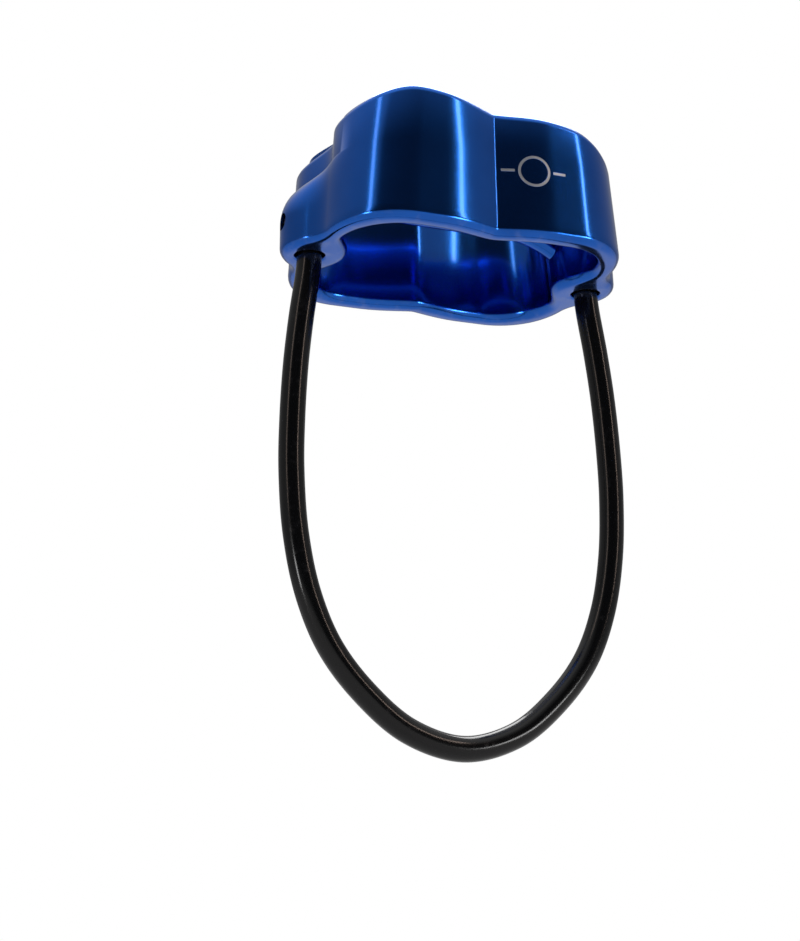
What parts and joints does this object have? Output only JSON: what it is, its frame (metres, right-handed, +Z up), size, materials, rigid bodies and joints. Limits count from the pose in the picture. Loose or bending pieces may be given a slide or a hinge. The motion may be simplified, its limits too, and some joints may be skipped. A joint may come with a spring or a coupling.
{
  "type": "tube-style belay device",
  "caption": "Anodised aluminium belay tube with rope slots and a plastic-sheathed wire keeper loop hanging from its ears.",
  "frame": {"origin": "middle of the flat bottom rim, between the two rope slots, where the rope strands hold the device up", "axes": "+Z up along the tube's axis, away from the loop; +X along the line through the two ears; +Y to the back"},
  "size_m": [0.0518, 0.0346, 0.0887],
  "materials": {
    "anodised": "polished, deep blue anodised",
    "sheath": "smooth black extruded coating",
    "steel": "galvanised wire rope",
    "ferrule": "swaged, dull",
    "pin": "blackened"
  },
  "bodies": {
    "tube": {"tube_body": "anodised", "sheath_end_left": "sheath", "sheath_end_right": "sheath", "cable_end_left": "steel", "cable_end_right": "steel", "ferrule_left": "ferrule", "ferrule_right": "ferrule", "retaining_pin_left": "pin", "retaining_pin_right": "pin"},
    "loop": {"loop_sheath": "sheath", "loop_cable": "steel"}
  },
  "joints": [
    {"name": "loop_swing", "type": "hinge", "parent": "tube", "child": "loop", "pos_m": [0, 0, -0.0022], "axis": [1, 0, 0], "range_deg": [-30, 30], "stiffness_Nm_per_rad": 0.35}
  ]
}
